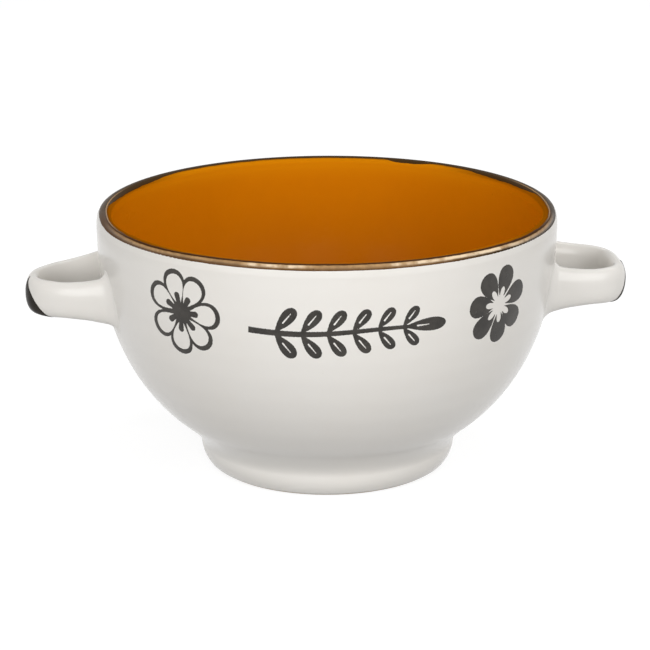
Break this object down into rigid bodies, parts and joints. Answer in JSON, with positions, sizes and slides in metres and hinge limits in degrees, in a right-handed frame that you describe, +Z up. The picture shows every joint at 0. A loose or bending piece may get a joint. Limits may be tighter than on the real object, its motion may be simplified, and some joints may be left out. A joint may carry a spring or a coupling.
{
  "type": "lug soup bowl",
  "caption": "Round footed soup bowl with strap-loop lugs, orange inside, white outside, brown lip and a charcoal flower and leaf print.",
  "frame": {"origin": "on the table under the middle of the bowl, at the foot's contact face", "axes": "+Z up, X through both lugs, and the printed front faces -Y"},
  "size_m": [0.1849, 0.1406, 0.081],
  "materials": {
    "stoneware": "bare fired stoneware, fine grained and matt",
    "white_glaze": "warm white glaze, smooth and glossy",
    "orange_glaze": "burnt orange glaze, smooth and glossy",
    "brown_glaze": "brown glaze thinning to bronze over the lip, glossy",
    "charcoal_print": "charcoal print fired into the glaze, glossy"
  },
  "bodies": {
    "root": {"bowl_body": "stoneware", "foot_ring": "stoneware", "left_handle": "stoneware", "right_handle": "stoneware", "outer_glaze": "white_glaze", "inner_glaze": "orange_glaze", "base_glaze": "white_glaze", "rim_glaze": "brown_glaze", "left_flower": "charcoal_print", "right_flower": "charcoal_print", "leaf_sprig": "charcoal_print", "left_handle_motif": "charcoal_print", "right_handle_motif": "charcoal_print"}
  },
  "joints": []
}
